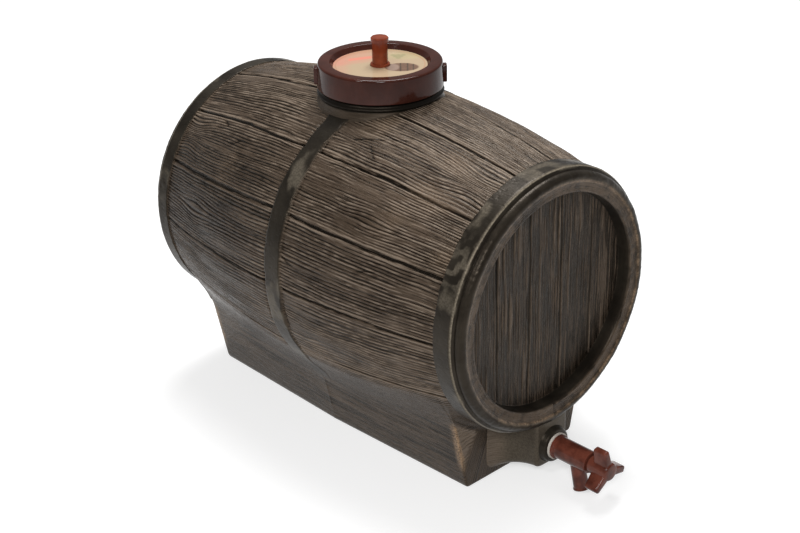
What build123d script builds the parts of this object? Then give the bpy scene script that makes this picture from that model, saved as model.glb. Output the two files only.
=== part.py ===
from build123d import *
import math
import os

# Blow-moulded 20 litre wine barrel lying on a plinth, with a screw lid, an air vent and a drum tap.
# Millimetres. +X is the barrel's axis towards the tap, +Z is up, and the origin is the centre of
# the plinth's bottom face.

# ---- driving dimensions: barrel ----
axis_height = 166.0            # barrel axis above the ground
stave_half_length = 174.5      # from the parting line to each end hoop
belly_radius = 135.8           # at the middle, beside the hoop
shoulder_radius = 115.8        # where the staves meet the end hoop
front_hoop_width = 20.0
rear_hoop_width = 15.0
mid_hoop_width = 20.0
hoop_rise = 1.0                # hoops proud of the staves
chime_width = 7.5              # rounded ring outside the end hoop
chime_root_drop = 2.2          # from the shoulder radius in to the chime's foot
chime_crest_drop = 12.8        # and to its outermost point
head_lip_drop = 20.0           # and to its inner edge
head_draft = 1.8               # head board smaller than the chime's inner edge
head_recess = 14.0             # head board behind the chime's crest
chime_lip_setback = 1.6
wall = 3.0                     # moulded wall, the same everywhere

# ---- driving dimensions: plinth and tap boss ----
plinth_half_length = 164.0
plinth_end_half_width = 66.3   # at the ground, at the two ends
plinth_mid_half_width = 71.3   # at the ground, on the mould's parting line
plinth_flare = 0.217           # widening for each millimetre of height
plinth_axis_gap = 76.0         # from the plinth's buried top up to the barrel axis
plinth_corner_radius = 5.0
boss_root_half_width = 32.0
boss_front_half_width = 19.0
boss_root_bottom = 8.0
boss_front_bottom = 13.0
boss_setback = 2.0             # block's front behind the chime's crest
boss_chime_gap = 3.0           # block's top below the chime's crest circle
boss_inner_drop = 10.0         # hollow's top further down
boss_pocket_gap = 0.4          # round the backnut, inside the collar
boss_collar_length = 5.5

# ---- driving dimensions: neck and lid ----
neck_x = -5.0                  # neck axis, a little behind the middle
neck_radius = 47.5
neck_wall = 3.1
neck_rise = 19.6               # neck rim above the belly's top line
collar_rise = 2.8              # collar's top above the belly's top line
collar_width = 5.5             # collar outside the neck
collar_bead = 1.6
thread_pitch = 6.0
thread_turns = 1.25
thread_height = 2.1
thread_half_root = 1.2
thread_half_crest = 0.6
thread_rise = 4.4              # first turn above the collar
thread_embed = 0.4             # root sunk into the wall so that the two fuse
lid_clearance = 0.7            # thread crest to the other piece's wall
lid_collar_gap = 1.3
lid_skirt_wall = 4.7
lid_skirt_draft = 1.1
lid_plate = 3.6                # ring plate over the gasket
lid_ring_overlap = 0.7         # ring's inner edge inside the neck's bore
lid_plug_wall = 2.7
lid_recess_depth = 4.9
lid_floor = 2.8
lid_edge_radius = 1.8
plug_clearance = 0.5           # lid's plug inside the neck
gasket_thickness = 2.5
gasket_clearance = 0.3
grip_angle = 47.0              # the two grip lugs, opposite each other
grip_width = 9.0
grip_rise = 3.0
grip_length = 15.0
grip_top_gap = 5.0
grip_edge_radius = 1.2
label_thickness = 0.5
label_margin = 0.3

# ---- driving dimensions: air vent ----
vent_radius = 6.75
vent_height = 25.5             # cap's top above the lid's sunk floor
vent_flange_radius = 8.5
vent_flange_thickness = 2.4
vent_cap_radius = 7.8
vent_cap_height = 4.0
vent_cap_dome = 0.8
vent_bore_radius = 2.4
vent_pin_length = 12.0
vent_pin_gap = 0.08            # pin in the stem's bore
vent_tail_radius = 4.0
vent_tail_length = 11.0        # below the lid's sunk floor
vent_seat_gap = 0.3
vent_gasket_thickness = 1.2
vent_nut_height = 3.6
vent_nut_flats = 13.0

# ---- driving dimensions: tap ----
tap_z = 32.0                   # tap axis above the ground
tap_gasket_radius = 11.9
tap_gasket_thickness = 2.0
tap_flange_radius = 11.0
tap_flange_thickness = 2.0
tap_tube_radius = 9.8
tap_tube_length = 32.5         # from the outer gasket to the bonnet
tap_shank_radius = 7.8
tap_shank_tail = 9.0           # past the inner gasket
tap_wall_gap = 0.2             # shank in the boss hole
tap_bore_radius = 5.0
tap_seat_distance = 13.5       # valve seat from the outer gasket
tap_seat_radius = 3.6
tap_seat_thickness = 2.0
tap_chamber_radius = 6.6
tap_nut_flats = 21.0
tap_nut_height = 5.5
nut_gap = 0.05                 # plain bores over the threads' outer diameter
spout_distance = 20.0          # spout's root from the outer gasket
spout_lean = 13.7              # degrees forward of straight down
spout_ground_gap = 0.75        # rim's lowest edge above the ground
spout_root_radius = 6.2
spout_rim_radius = 6.7
spout_lip_radius = 7.2
spout_lip_height = 1.6
spout_bore_radius = 4.7
bonnet_length = 4.0
bonnet_plug_length = 6.0
bonnet_plug_gap = 0.05
spindle_radius = 3.0
spindle_gap = 0.06
spindle_collar_radius = 4.6
spindle_collar_length = 2.0
valve_radius = 5.8
valve_thickness = 3.0
valve_tip_length = 1.2
valve_tip_gap = 0.3
ring_width = 1.5
handle_gap = 1.2               # knob in front of the bonnet when the tap is shut
handle_hub_radius = 8.2
handle_hub_length = 21.0
handle_tip_radius = 21.0
handle_wing_count = 3
handle_wing_first = 102.0      # degrees from +Y to the first wing, which points almost straight up
handle_wing_root = 8.4
handle_wing_tip = 5.6
handle_wing_length = 15.0
handle_wing_setback = 5.0
handle_socket_depth = 14.0
handle_edge = 1.2
small_edge = 0.6               # bevel on small turned edges

# ---- places that follow from the dimensions ----
front_root_x = stave_half_length + front_hoop_width
rear_root_x = stave_half_length + rear_hoop_width
front_x = front_root_x + chime_width
chime_crest_radius = shoulder_radius - chime_crest_drop
head_lip_radius = shoulder_radius - head_lip_drop
head_radius = head_lip_radius - head_draft
plinth_height = axis_height - plinth_axis_gap
boss_front_x = front_x - boss_setback
boss_top = axis_height - chime_crest_radius - boss_chime_gap
boss_face_x = boss_front_x + boss_collar_length
boss_collar_radius = tap_nut_flats / math.sqrt(3) + boss_pocket_gap + wall
boss_inner_x = boss_face_x - wall - tap_wall_gap
belly_top_z = axis_height + belly_radius
collar_radius = neck_radius + collar_width
collar_top_z = belly_top_z + collar_rise
neck_bore_radius = neck_radius - neck_wall
neck_top_z = belly_top_z + neck_rise
thread_start_z = collar_top_z + thread_rise
lid_inner_radius = neck_radius + thread_height + lid_clearance
lid_bottom_z = collar_top_z + lid_collar_gap
lid_bottom_radius = lid_inner_radius + lid_skirt_wall
lid_top_radius = lid_bottom_radius - lid_skirt_draft
gasket_top_z = neck_top_z + gasket_thickness
lid_top_z = gasket_top_z + lid_plate
lid_ring_edge_radius = neck_bore_radius - lid_ring_overlap
plug_radius = neck_bore_radius - plug_clearance
lid_recess_radius = plug_radius - lid_plug_wall
lid_floor_z = lid_top_z - lid_recess_depth
lid_under_z = lid_floor_z - lid_floor
vent_top_z = lid_floor_z + vent_height
tap_base_x = boss_face_x + tap_gasket_thickness
tap_tube_end_x = tap_base_x + tap_tube_length
tap_seat_x = tap_base_x + tap_seat_distance
spout_root_x = tap_base_x + spout_distance
bonnet_end_x = tap_tube_end_x + bonnet_length


from_base = (Align.CENTER, Align.CENTER, Align.MIN)


def barrel_plane():
    return Plane(origin=(0, 0, axis_height), x_dir=(1, 0, 0), z_dir=(0, -1, 0))


def turned_about_x(points, height):
    """Solid of revolution about the line y=0, z=height, from (x, radius) points."""
    plane = Plane(origin=(0, 0, height), x_dir=(1, 0, 0), z_dir=(0, -1, 0))
    outline = plane * make_face(Polyline(*points, close=True))
    return revolve(outline, Axis((0, 0, height), (1, 0, 0)), 360)


def turned_about_z(points, centre_x):
    """Solid of revolution about the upright line x=centre_x, y=0, from (radius, z) points."""
    plane = Plane(origin=(centre_x, 0, 0), x_dir=(1, 0, 0), z_dir=(0, -1, 0))
    outline = plane * make_face(Polyline(*points, close=True))
    return revolve(outline, Axis((centre_x, 0, 0), (0, 0, 1)), 360)


def chime(root_x, inset):
    """Outline from the foot of the rounded end ring, over its crest, to the middle of the head."""
    crest_x = root_x + chime_width
    lip = (crest_x - chime_lip_setback - inset, head_lip_radius + inset)
    head_x = crest_x - head_recess - inset
    foot = (root_x, shoulder_radius - chime_root_drop - inset)
    ring = ThreePointArc(foot, (crest_x - inset, chime_crest_radius), lip)
    return ring + Polyline(lip, (head_x, head_radius + inset), (head_x, 0))


def barrel_body(inset):
    """The turned barrel with its two chimes and recessed heads, smaller by inset all over."""
    root_r = shoulder_radius - chime_root_drop - inset
    hoop_r = shoulder_radius - inset
    front, rear = chime(front_root_x, inset), mirror(chime(rear_root_x, inset), about=Plane.YZ)
    outline = front + rear
    outline += Line((front_root_x, root_r), (stave_half_length, hoop_r))
    outline += ThreePointArc((stave_half_length, hoop_r), (0, belly_radius - inset), (-stave_half_length, hoop_r))
    outline += Line((-stave_half_length, hoop_r), (-rear_root_x, root_r))
    outline += Line(front @ 1, rear @ 1)
    face = barrel_plane() * make_face(outline)
    return revolve(face, Axis((0, 0, axis_height), (1, 0, 0)), 360)


def hoop(start_x, end_x, start_r, end_r):
    """A slightly proud band round the barrel, with bevelled edges."""
    bevel = hoop_rise
    points = [(start_x, start_r - wall / 2), (start_x, start_r), (start_x + bevel, start_r + bevel)]
    points += [(end_x - bevel, end_r + bevel), (end_x, end_r), (end_x, end_r - wall / 2)]
    return turned_about_x(points, axis_height)


def hexagon(inset, height):
    """Plinth outline at a height: it is widest on the parting line and narrows to both ends."""
    grown = plinth_flare * height - inset
    length = plinth_half_length - inset
    ends = plinth_end_half_width + grown
    middle = plinth_mid_half_width + grown
    points = [(length, -ends), (length, ends), (0, middle), (-length, ends), (-length, -ends), (0, -middle)]
    return Plane.XY.offset(height) * make_face(Polyline(*points, close=True))


def plinth(inset):
    block = loft([hexagon(inset, inset), hexagon(inset, plinth_height - inset)], ruled=True)
    corners = [e for e in block.edges() if abs(e.center().X) > plinth_half_length / 2
               and e.length > plinth_height / 2 and abs(e.center().Z - plinth_height / 2) < wall]
    return fillet(corners, plinth_corner_radius)


def boss(inset):
    """Block under the front chime that carries the tap, with a round collar on its face."""
    root_x = plinth_half_length - 2 * wall - inset
    front_x = boss_front_x - inset
    top = boss_top - boss_inner_drop - inset if inset else boss_top

    def section(x, half_width, bottom):
        tall = top - bottom - inset
        plane = Plane(origin=(x, 0, bottom + inset + tall / 2), x_dir=(0, 1, 0), z_dir=(1, 0, 0))
        return plane * Rectangle(2 * (half_width - inset), tall)

    block = loft([section(root_x, boss_root_half_width, boss_root_bottom),
                  section(front_x, boss_front_half_width, boss_front_bottom)], ruled=True)
    start = boss_front_x - wall
    collar_end = boss_inner_x if inset else boss_face_x
    collar = turned_about_x([(start, 0), (start, boss_collar_radius - inset),
                             (collar_end, boss_collar_radius - inset), (collar_end, 0)], tap_z)
    return block + collar


def thread_ridge(radius, outward, start_z):
    """One helical ridge round the neck axis, growing outward or inward from the wall at radius."""
    way = 1 if outward else -1
    path = Helix(pitch=thread_pitch, height=thread_pitch * thread_turns, radius=radius,
                 center=(neck_x, 0, start_z), direction=(0, 0, 1))
    plane = Plane(origin=path @ 0, x_dir=(way, 0, 0), z_dir=path % 0)
    outline = [(-thread_embed, -thread_half_root), (thread_height, -thread_half_crest),
               (thread_height, thread_half_crest), (-thread_embed, thread_half_root)]
    return sweep(plane * make_face(Polyline(*outline, close=True)), path=path, is_frenet=True)


def make_barrel_shell():
    base_z = axis_height + shoulder_radius / 2
    collar_start = collar_radius + collar_bead
    outer = barrel_body(0)
    outer += hoop(stave_half_length, front_root_x, shoulder_radius, shoulder_radius)
    outer += hoop(-rear_root_x, -stave_half_length, shoulder_radius, shoulder_radius)
    outer += hoop(-mid_hoop_width / 2, mid_hoop_width / 2, belly_radius, belly_radius)
    outer += plinth(0)
    outer += boss(0)
    bead_z = collar_top_z - 2 * collar_bead
    outer += turned_about_z([(0, base_z), (collar_start, base_z), (collar_start, bead_z),
                             (collar_radius, collar_top_z), (neck_radius, collar_top_z),
                             (neck_radius, neck_top_z), (0, neck_top_z)], neck_x)
    inner = barrel_body(wall)
    inner += plinth(wall)
    inner += boss(wall)
    inner += turned_about_z([(0, base_z), (neck_bore_radius, base_z),
                             (neck_bore_radius, neck_top_z + wall), (0, neck_top_z + wall)], neck_x)
    shell = outer - inner
    hole = tap_shank_radius + tap_wall_gap
    shell -= turned_about_x([(boss_front_x - wall, 0), (boss_front_x - wall, hole),
                             (boss_face_x + wall, hole), (boss_face_x + wall, 0)], tap_z)
    return shell + thread_ridge(neck_radius, True, thread_start_z)


def make_lid():
    """Screw lid: skirt with two grip lugs, sunk top that carries the label, and a plug."""
    outline = [(vent_tail_radius + vent_seat_gap, lid_floor_z), (lid_recess_radius, lid_floor_z),
               (lid_ring_edge_radius, lid_top_z), (lid_top_radius - lid_edge_radius, lid_top_z),
               (lid_top_radius, lid_top_z - lid_edge_radius), (lid_bottom_radius, lid_bottom_z),
               (lid_inner_radius, lid_bottom_z), (lid_inner_radius, gasket_top_z),
               (plug_radius, gasket_top_z), (plug_radius, lid_under_z),
               (vent_tail_radius + vent_seat_gap, lid_under_z)]
    lid = turned_about_z(outline, neck_x)
    mean_radius = (lid_top_radius + lid_bottom_radius) / 2
    lug_depth = grip_rise + wall
    lug_z = lid_top_z - grip_top_gap - grip_length / 2
    for turn in (grip_angle, grip_angle + 180):
        block = Box(lug_depth, grip_width, grip_length)
        block = fillet(block.edges().group_by(Axis.X)[-1], grip_edge_radius)
        place = Pos(neck_x, 0, lug_z) * Rot(0, 0, turn) * Pos(mean_radius + grip_rise - lug_depth / 2, 0, 0)
        lid += place * block
    return lid + thread_ridge(lid_inner_radius, False, thread_start_z + thread_pitch / 2)


def washer_z(inner, outer, low, high):
    return turned_about_z([(inner, low), (outer, low), (outer, high), (inner, high)], neck_x)


def washer_x(inner, outer, start, end):
    return turned_about_x([(start, inner), (start, outer), (end, outer), (end, inner)], tap_z)


def hex_nut(flats, height, bore):
    body = extrude(RegularPolygon(flats / 2, 6, major_radius=False), height)
    body = chamfer(body.edges().group_by(Axis.Z)[-1], small_edge)
    return body - Cylinder(bore, height, align=from_base)


def make_vent_stem():
    flange_top = lid_floor_z + vent_flange_thickness
    stem_top = vent_top_z - vent_cap_height
    tail_z = lid_floor_z - vent_tail_length
    outline = [(vent_bore_radius, tail_z), (vent_tail_radius, tail_z), (vent_tail_radius, lid_floor_z),
               (vent_flange_radius, lid_floor_z),
               (vent_flange_radius, flange_top - small_edge), (vent_flange_radius - small_edge, flange_top),
               (vent_radius, flange_top), (vent_radius, stem_top), (vent_bore_radius, stem_top)]
    return turned_about_z(outline, neck_x)


def make_vent_cap():
    """Cap that is pulled up to let air in; its pin runs in the stem's bore."""
    under = vent_top_z - vent_cap_height
    pin = vent_bore_radius - vent_pin_gap
    outline = [(0, under - vent_pin_length), (pin - small_edge, under - vent_pin_length),
               (pin, under - vent_pin_length + small_edge), (pin, under), (vent_cap_radius, under),
               (vent_cap_radius, vent_top_z - vent_cap_dome),
               (vent_cap_radius - vent_cap_dome, vent_top_z), (0, vent_top_z)]
    return turned_about_z(outline, neck_x)


def make_tap_body():
    """Threaded shank, flange, tube with its valve seat, and the leaning spout."""
    shank_start = boss_inner_x - tap_gasket_thickness - tap_shank_tail
    flange_end = tap_base_x + tap_flange_thickness
    body = turned_about_x([(shank_start, 0), (shank_start, tap_shank_radius), (tap_base_x, tap_shank_radius),
                           (tap_base_x, tap_flange_radius), (flange_end, tap_flange_radius),
                           (flange_end + small_edge, tap_tube_radius), (tap_tube_end_x, tap_tube_radius),
                           (tap_tube_end_x, 0)], tap_z)
    lean = math.radians(spout_lean)
    drop = tap_z - spout_ground_gap - spout_lip_radius * math.sin(lean)
    spout_length = drop / math.cos(lean)
    spout_plane = Plane(origin=(spout_root_x, 0, tap_z), x_dir=(math.cos(lean), 0, math.sin(lean)),
                        z_dir=(math.sin(lean), 0, -math.cos(lean)))
    lip_start = spout_length - spout_lip_height
    outline = [(0, 0), (spout_root_radius, 0), (spout_rim_radius, lip_start),
               (spout_lip_radius, lip_start + small_edge), (spout_lip_radius, spout_length),
               (0, spout_length)]
    spout_face = Plane.XZ * make_face(Polyline(*outline, close=True))
    body += spout_plane.location * revolve(spout_face, Axis.Z, 360)
    spout_bore = Cylinder(spout_bore_radius, spout_length + wall, align=from_base)
    body -= spout_plane.location * spout_bore
    seat_start = tap_seat_x - tap_seat_thickness
    bore = turned_about_x([(shank_start - wall, 0), (shank_start - wall, tap_bore_radius),
                           (seat_start, tap_bore_radius), (seat_start, tap_seat_radius),
                           (tap_seat_x, tap_seat_radius), (tap_seat_x, tap_chamber_radius),
                           (tap_tube_end_x + wall, tap_chamber_radius), (tap_tube_end_x + wall, 0)], tap_z)
    return body - bore


def make_backnut():
    nut = hex_nut(tap_nut_flats, tap_nut_height, tap_shank_radius + nut_gap)
    place = Plane(origin=(boss_inner_x - tap_gasket_thickness, 0, tap_z), x_dir=(0, 1, 0), z_dir=(-1, 0, 0))
    return place.location * nut


def make_bonnet():
    """Screwed collar that closes the tube and guides the spindle."""
    bore = spindle_radius + spindle_gap
    plug = tap_chamber_radius - bonnet_plug_gap
    start = tap_tube_end_x - bonnet_plug_length
    oring = spindle_radius + ring_width
    outline = [(start, bore), (start, plug), (tap_tube_end_x, plug), (tap_tube_end_x, tap_tube_radius),
               (bonnet_end_x - small_edge, tap_tube_radius), (bonnet_end_x, tap_tube_radius - small_edge),
               (bonnet_end_x, bore), (bonnet_end_x - ring_width, bore), (bonnet_end_x - ring_width, oring),
               (bonnet_end_x - 2 * ring_width, oring), (bonnet_end_x - 2 * ring_width, bore)]
    return turned_about_x(outline, tap_z)


def make_spindle():
    start = tap_seat_x + valve_thickness
    collar_end = start + spindle_collar_length
    end = bonnet_end_x + handle_gap + handle_socket_depth
    outline = [(start, 0), (start, spindle_collar_radius), (collar_end, spindle_collar_radius),
               (collar_end, spindle_radius), (end, spindle_radius), (end, 0)]
    return turned_about_x(outline, tap_z)


def make_valve_seal():
    """Rubber jumper: it closes the seat with its face and centres itself with a short tip."""
    tip = tap_seat_radius - valve_tip_gap
    outline = [(tap_seat_x - valve_tip_length, 0), (tap_seat_x - valve_tip_length, tip - small_edge),
               (tap_seat_x, tip), (tap_seat_x, valve_radius), (tap_seat_x + valve_thickness, valve_radius),
               (tap_seat_x + valve_thickness, 0)]
    return turned_about_x(outline, tap_z)


def make_handle():
    """Knob with three thick wings that taper to their tips."""
    start = bonnet_end_x + handle_gap
    end = start + handle_hub_length
    hub = turned_about_x([(start, 0), (start, handle_hub_radius - handle_edge),
                          (start + handle_edge, handle_hub_radius), (end - handle_edge, handle_hub_radius),
                          (end, handle_hub_radius - handle_edge), (end, 0)], tap_z)
    for number in range(handle_wing_count):
        turn = handle_wing_first + number * 360 / handle_wing_count
        root = Plane.XY * Rectangle(handle_wing_length, handle_wing_root)
        tip_plane = Plane.XY.offset(handle_tip_radius)
        tip = tip_plane * Rectangle(handle_wing_length - 2 * handle_edge, handle_wing_tip)
        wing = loft([root, tip], ruled=True)
        wing = chamfer(wing.edges().group_by(Axis.Z)[-1], handle_edge)
        middle_x = start + handle_wing_setback + handle_wing_length / 2
        hub += Pos(middle_x, 0, tap_z) * Rot(turn - 90, 0, 0) * wing
    socket_end = start + handle_socket_depth
    socket = turned_about_x([(start - wall, 0), (start - wall, spindle_radius),
                             (socket_end, spindle_radius), (socket_end, 0)], tap_z)
    return hub - socket


def make_vent_nut():
    nut = hex_nut(vent_nut_flats, vent_nut_height, vent_tail_radius + nut_gap)
    return Pos(neck_x, 0, lid_under_z - vent_gasket_thickness) * Rot(180, 0, 0) * nut


def make_vent_gasket():
    bore = vent_tail_radius + vent_seat_gap
    return washer_z(bore, vent_flange_radius, lid_under_z - vent_gasket_thickness, lid_under_z)


def make_label():
    inner = vent_flange_radius + label_margin
    return washer_z(inner, lid_recess_radius - label_margin, lid_floor_z, lid_floor_z + label_thickness)


def make_tap_gasket(start):
    return washer_x(tap_shank_radius + tap_wall_gap, tap_gasket_radius, start, start + tap_gasket_thickness)


def make_spindle_ring():
    end = bonnet_end_x - ring_width
    return washer_x(spindle_radius + spindle_gap, spindle_radius + ring_width, end - ring_width, end)


nodes = {
    "barrel_shell": make_barrel_shell(),
    "lid": make_lid(),
    "lid_gasket": washer_z(neck_bore_radius, lid_inner_radius - gasket_clearance, neck_top_z, gasket_top_z),
    "lid_label": make_label(),
    "vent_stem": make_vent_stem(),
    "vent_gasket": make_vent_gasket(),
    "vent_nut": make_vent_nut(),
    "vent_cap": make_vent_cap(),
    "tap_body": make_tap_body(),
    "tap_outer_gasket": make_tap_gasket(boss_face_x),
    "tap_inner_gasket": make_tap_gasket(boss_inner_x - tap_gasket_thickness),
    "tap_backnut": make_backnut(),
    "tap_bonnet": make_bonnet(),
    "tap_spindle": make_spindle(),
    "tap_spindle_ring": make_spindle_ring(),
    "tap_valve_seal": make_valve_seal(),
    "tap_handle": make_handle(),
}
os.makedirs("parts", exist_ok=True)
for name, shape in nodes.items():
    shape.label = name
    export_step(shape, "parts/" + name + ".step")
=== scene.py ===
import math
import bpy
import bmesh
import numpy as np
from mathutils import Matrix, Vector


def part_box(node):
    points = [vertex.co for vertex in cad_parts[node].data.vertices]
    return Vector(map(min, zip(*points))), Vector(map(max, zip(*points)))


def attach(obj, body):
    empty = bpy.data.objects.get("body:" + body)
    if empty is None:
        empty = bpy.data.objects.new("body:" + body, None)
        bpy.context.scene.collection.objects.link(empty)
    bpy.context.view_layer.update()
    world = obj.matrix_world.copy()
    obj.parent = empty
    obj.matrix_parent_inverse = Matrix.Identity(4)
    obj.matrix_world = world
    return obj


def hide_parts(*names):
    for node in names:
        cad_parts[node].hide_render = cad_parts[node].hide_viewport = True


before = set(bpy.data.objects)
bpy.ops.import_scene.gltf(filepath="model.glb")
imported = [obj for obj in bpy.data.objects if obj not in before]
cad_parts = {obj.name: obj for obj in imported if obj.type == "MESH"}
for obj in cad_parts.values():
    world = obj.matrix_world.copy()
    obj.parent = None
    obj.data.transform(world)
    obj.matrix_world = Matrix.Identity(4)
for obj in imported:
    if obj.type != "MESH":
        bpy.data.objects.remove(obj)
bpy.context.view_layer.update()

# Lengths in this script are millimetres in the frame's own axes. MM turns them into metres.
MM = 0.001


def box_mm(node):
    """Lowest and highest corner of a CAD node, in millimetres."""
    low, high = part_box(node)
    return np.array(low) / MM, np.array(high) / MM


SHELL_LOW, SHELL_HIGH = box_mm("barrel_shell")
LID_LOW, LID_HIGH = box_mm("lid")
GASKET_LOW, GASKET_HIGH = box_mm("lid_gasket")
LABEL_LOW, LABEL_HIGH = box_mm("lid_label")
OUTER_GASKET_LOW, OUTER_GASKET_HIGH = box_mm("tap_outer_gasket")

# ---- barrel, along x, with the tap at its front ----
HOOP_RISE = 1.0
BELLY_RADIUS = SHELL_HIGH[1] - HOOP_RISE
AXIS_Z = 166.0
SHOULDER_RADIUS = 115.8
STAVE_HALF = 174.5
FRONT_HOOP = 20.0
CHIME_WIDTH = 7.5
FRONT_ROOT_X = STAVE_HALF + FRONT_HOOP
FRONT_X = FRONT_ROOT_X + CHIME_WIDTH
REAR_X = -SHELL_LOW[0]
REAR_ROOT_X = REAR_X - CHIME_WIDTH
HEAD_RECESS = 14.0
MID_HOOP_HALF = 10.0
HEAD_RADIUS = 94.0
BEAD_RADIUS = SHOULDER_RADIUS - 8.6  # inner foot of the chime's round bead
RING_EDGE = HEAD_RADIUS + 2.2  # inner edge of the chime's flat ring
HALF_JOINTS = (11.5, 38.5, 64.0, 91.5, 119.3, 146.0)  # degrees from the top of the barrel
STAVE_JOINTS = np.array([-joint for joint in HALF_JOINTS[::-1]] + list(HALF_JOINTS))

# ---- plinth and boss ----
PLINTH_HALF_LENGTH = 164.0
PLINTH_END_WIDTH = 66.3  # half widths at the foot
PLINTH_MID_WIDTH = 71.3
PLINTH_FLARE = 0.217
PLINTH_BLEND = 15.0
BOTTOM_ROUND = 5.0
END_FILLET = 8.5
END_EDGE = 2.5
BOSS_FRONT_X = FRONT_X - 2.0
BOSS_FACE_X = SHELL_HIGH[0]
BOSS_TIP_ROUND = 3.0
BOSS_HALF_WIDTH = 19.0
BOSS_BOTTOM = 13.0
BOSS_TOP = 62.0
BOSS_SQUARENESS = 6.5  # 2 gives an ellipse, a large value a rectangle
BOSS_COLLAR = 15.4
TAP_Z = (OUTER_GASKET_LOW[2] + OUTER_GASKET_HIGH[2]) / 2

# ---- neck ----
NECK_X = (GASKET_LOW[0] + GASKET_HIGH[0]) / 2
NECK_TOP = SHELL_HIGH[2]
NECK_RADIUS = 47.5
NECK_BORE = 44.4
COLLAR_RADIUS = 53.0
COLLAR_TOP = LID_LOW[2] - 1.3


# ---- numbers ----
def smooth(low, high, value):
    """0 below low, 1 above high, and an S-shaped rise between them."""
    t = np.clip((value - low) / (high - low), 0.0, 1.0)
    return t * t * (3 - 2 * t)


def soft_max(a, b, k):
    """The larger of two heights, with a rounded join k wide."""
    h = np.maximum(k - np.abs(a - b), 0.0) / k
    return np.maximum(a, b) + h * h * k / 4


def soft_min(a, b, k):
    """The smaller of two heights, with a rounded join k wide."""
    return -soft_max(-a, -b, k)


def lattice(ix, iy, seed):
    """A fixed number from -1 to 1 for each point of a square lattice."""
    n = ix.astype(np.int64) * 374761393 + iy.astype(np.int64) * 668265263 + seed * 974634777
    n = (n ^ (n >> 13)) & 0x7FFFFFFF
    n = (n * 1274126177) & 0x7FFFFFFF
    n = (n ^ (n >> 16)) & 0xFFFFFF
    return n / 0x800000 - 1.0


def noise(x, y, seed):
    """Smooth noise from -1 to 1."""
    x, y = np.broadcast_arrays(np.asarray(x, float), np.asarray(y, float))
    ix, iy = np.floor(x), np.floor(y)
    fx, fy = x - ix, y - iy
    fx, fy = fx * fx * (3 - 2 * fx), fy * fy * (3 - 2 * fy)
    low = lattice(ix, iy, seed) * (1 - fx) + lattice(ix + 1, iy, seed) * fx
    high = lattice(ix, iy + 1, seed) * (1 - fx) + lattice(ix + 1, iy + 1, seed) * fx
    return low * (1 - fy) + high * fy


NOISE_LAYERS = 3


def layered_noise(x, y, seed):
    """Smooth noise from -1 to 1 with finer and weaker noise added."""
    total, whole, size = 0.0, 0.0, 1.0
    for layer in range(NOISE_LAYERS):
        total = total + noise(x * 2 ** layer, y * 2 ** layer, seed + layer) * size
        whole += size
        size /= 2
    return total / whole


# ---- meshes ----
def new_object(name, points, faces, attributes=None):
    """A smooth-shaded object in the scene. points are millimetres, attributes one value a point."""
    mesh = bpy.data.meshes.new(name)
    mesh.from_pydata((np.asarray(points) * MM).tolist(), [], faces)
    mesh.validate()
    for key, values in (attributes or {}).items():
        layer = mesh.attributes.new(key, "FLOAT", "POINT")
        layer.data.foreach_set("value", np.asarray(values, dtype=np.float32))
    mesh.shade_smooth()
    piece = bpy.data.objects.new(name, mesh)
    bpy.context.scene.collection.objects.link(piece)
    return piece


def grid_faces(rows, columns, start=0, wrap=True, flip=False):
    """Quads between neighbouring rows of a grid of points."""
    faces = []
    last = columns if wrap else columns - 1
    for i in range(rows - 1):
        for j in range(last):
            k = (j + 1) % columns
            a = start + i * columns
            quad = (a + j, a + k, a + columns + k, a + columns + j)
            faces.append(quad[::-1] if flip else quad)
    return faces


PAINTED = ("relief", "wear", "band", "along", "across")


class Skin:
    """Closed sheets that make one object, with painted values for each point: how light the
    relief is, how worn, how much like a hoop, and the grain's two coordinates in millimetres."""

    def __init__(self):
        self.points, self.faces = [], []
        self.painted = {key: [] for key in PAINTED}
        self.count = 0

    def add(self, points, faces, **painted):
        """Paints one number on the whole sheet, or one on each point and 0 on a fan's middle."""
        points = np.asarray(points, float).reshape(-1, 3)
        self.points.append(points)
        self.faces += [tuple(v + self.count for v in f) for f in faces]
        painted.setdefault("along", points[:, 0])
        painted.setdefault("across", points[:, 2])
        for key in PAINTED:
            value = np.asarray(painted.get(key, 0.0), float).ravel()
            whole = np.zeros(len(points))
            whole[:value.size if value.size > 1 else None] = value
            self.painted[key].append(whole)
        self.count += len(points)

    def build(self, name):
        painted = {key: np.concatenate(parts) for key, parts in self.painted.items()}
        return new_object(name, np.concatenate(self.points), self.faces, attributes=painted)


def tube_grid(rings):
    """Closed sheet through rings of points, capped with a fan at each end."""
    rings = np.asarray(rings, float)
    rows, columns = rings.shape[:2]
    first, last = rings[0].mean(axis=0), rings[-1].mean(axis=0)
    points = np.vstack([rings.reshape(-1, 3), first, last])
    faces = grid_faces(rows, columns)
    middle, last_row = rows * columns, (rows - 1) * columns
    for j in range(columns):
        k = (j + 1) % columns
        faces.append((middle, k, j))
        faces.append((middle + 1, last_row + j, last_row + k))
    return points, faces


def circle(count):
    """Evenly spaced angles round a full turn."""
    return np.linspace(0, 2 * math.pi, count, endpoint=False)


def lathe_x(profile, height, count):
    """Closed solid of revolution about the line y=0, z=height, from (x, radius) pairs."""
    a = circle(count)
    y, z = -np.sin(a), np.cos(a)
    rings = [np.column_stack([np.full(count, x), r * y, height + r * z]) for x, r in profile]
    return tube_grid(rings[::-1])


def lathe_z(profile, centre_x, count):
    """Closed ring about an upright line, from a closed outline of (radius, z) pairs."""
    a = circle(count)
    x, y = np.cos(a), np.sin(a)
    rings = [np.column_stack([centre_x + r * x, r * y, np.full(count, z)]) for r, z in profile]
    faces = grid_faces(len(rings), count)
    last_row = (len(rings) - 1) * count
    for j in range(count):
        k = (j + 1) % count
        faces.append((last_row + j, last_row + k, k, j))
    return np.concatenate(rings), faces


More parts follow.
